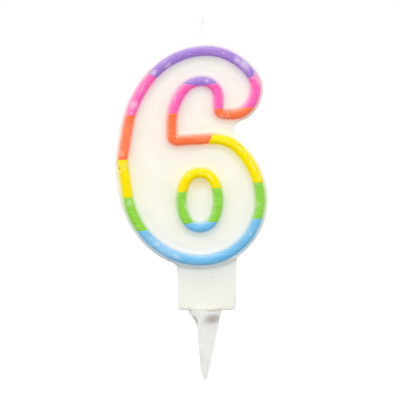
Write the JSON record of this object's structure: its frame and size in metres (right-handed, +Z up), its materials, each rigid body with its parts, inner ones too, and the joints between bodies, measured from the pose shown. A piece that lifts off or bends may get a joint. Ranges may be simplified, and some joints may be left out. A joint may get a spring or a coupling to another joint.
{
  "type": "number candle",
  "caption": "Numeral birthday candle: a flat wax slab edged with a raised rainbow bead line, with a cotton wick at the top and a finned plastic pick below that pushes into a cake.",
  "frame": {"origin": "on the pick's axis, in the plane of the wax foot's underside, where the pick's head seats", "axes": "+Z up along the pick, +X to the numeral's right as it is read, and the beaded front faces -Y"},
  "size_m": [0.0408, 0.0102, 0.0968],
  "materials": {
    "white_wax": "satin, slightly translucent wax",
    "cotton": "waxed twisted cotton",
    "pick_plastic": "plain moulded",
    "violet_wax": "satin wax",
    "pink_wax": "satin wax",
    "orange_wax": "satin wax",
    "yellow_wax": "satin wax",
    "green_wax": "satin wax",
    "blue_wax": "satin wax"
  },
  "bodies": {
    "pick": {"pick": "pick_plastic"},
    "candle": {"wax_body": "white_wax", "wick": "cotton", "violet_crown": "violet_wax", "pink_hook": "pink_wax", "orange_hook": "orange_wax", "pink_arch_right": "pink_wax", "violet_arch": "violet_wax", "pink_arch_left": "pink_wax", "orange_corner": "orange_wax", "yellow_shoulder": "yellow_wax", "green_right": "green_wax", "blue_base": "blue_wax", "green_left": "green_wax", "yellow_left": "yellow_wax", "orange_left": "orange_wax", "pink_left": "pink_wax", "yellow_counter": "yellow_wax", "green_counter_right": "green_wax", "blue_counter": "blue_wax", "green_counter_left": "green_wax"}
  },
  "joints": [
    {"name": "candle_lift", "type": "slide", "parent": "pick", "child": "candle", "axis": [0, 0, 1], "range_m": [0, 0.0095]}
  ]
}
